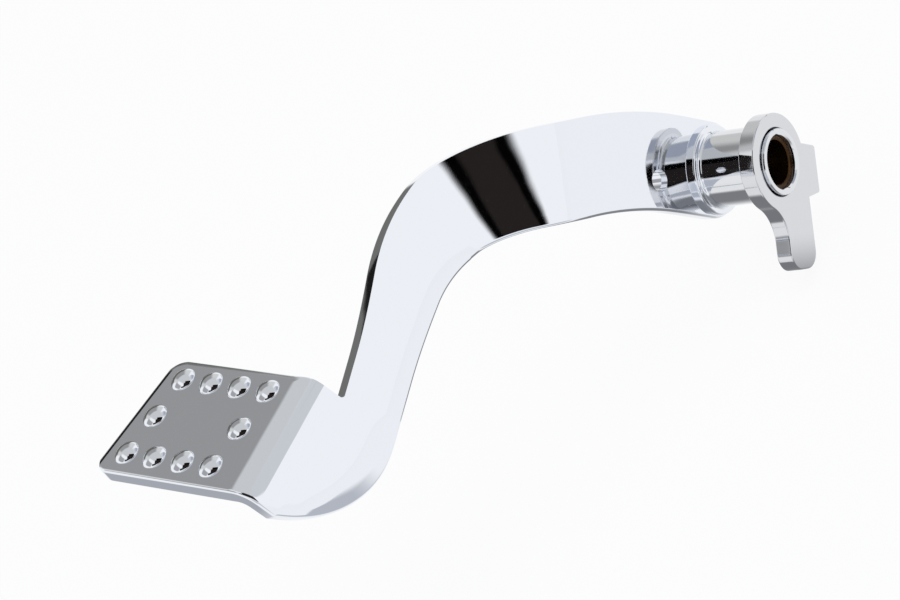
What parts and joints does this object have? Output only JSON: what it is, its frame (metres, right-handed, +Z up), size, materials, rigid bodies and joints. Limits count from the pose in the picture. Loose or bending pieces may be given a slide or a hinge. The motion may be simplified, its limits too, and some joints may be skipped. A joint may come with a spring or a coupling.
{
  "type": "rear brake pedal",
  "caption": "Forged rear brake pedal with a studded foot pad, a bar that steps outboard, a bushed pivot tube and a rod lever at the inboard end.",
  "frame": {"origin": "on the pivot axis, halfway along the pivot tube", "axes": "+X forward, +Y inboard along the pivot axis towards the rod lever, +Z up with the foot pad level"},
  "size_m": [0.2298, 0.1586, 0.1294],
  "materials": {
    "arm_chrome": "polished",
    "tube_chrome": "polished",
    "lever_chrome": "polished",
    "bronze": "oiled bronze"
  },
  "bodies": {
    "root": {"pedal_arm": "arm_chrome", "pivot_tube": "tube_chrome", "rod_lever": "lever_chrome", "inboard_bushing": "bronze", "outboard_bushing": "bronze"}
  },
  "joints": []
}
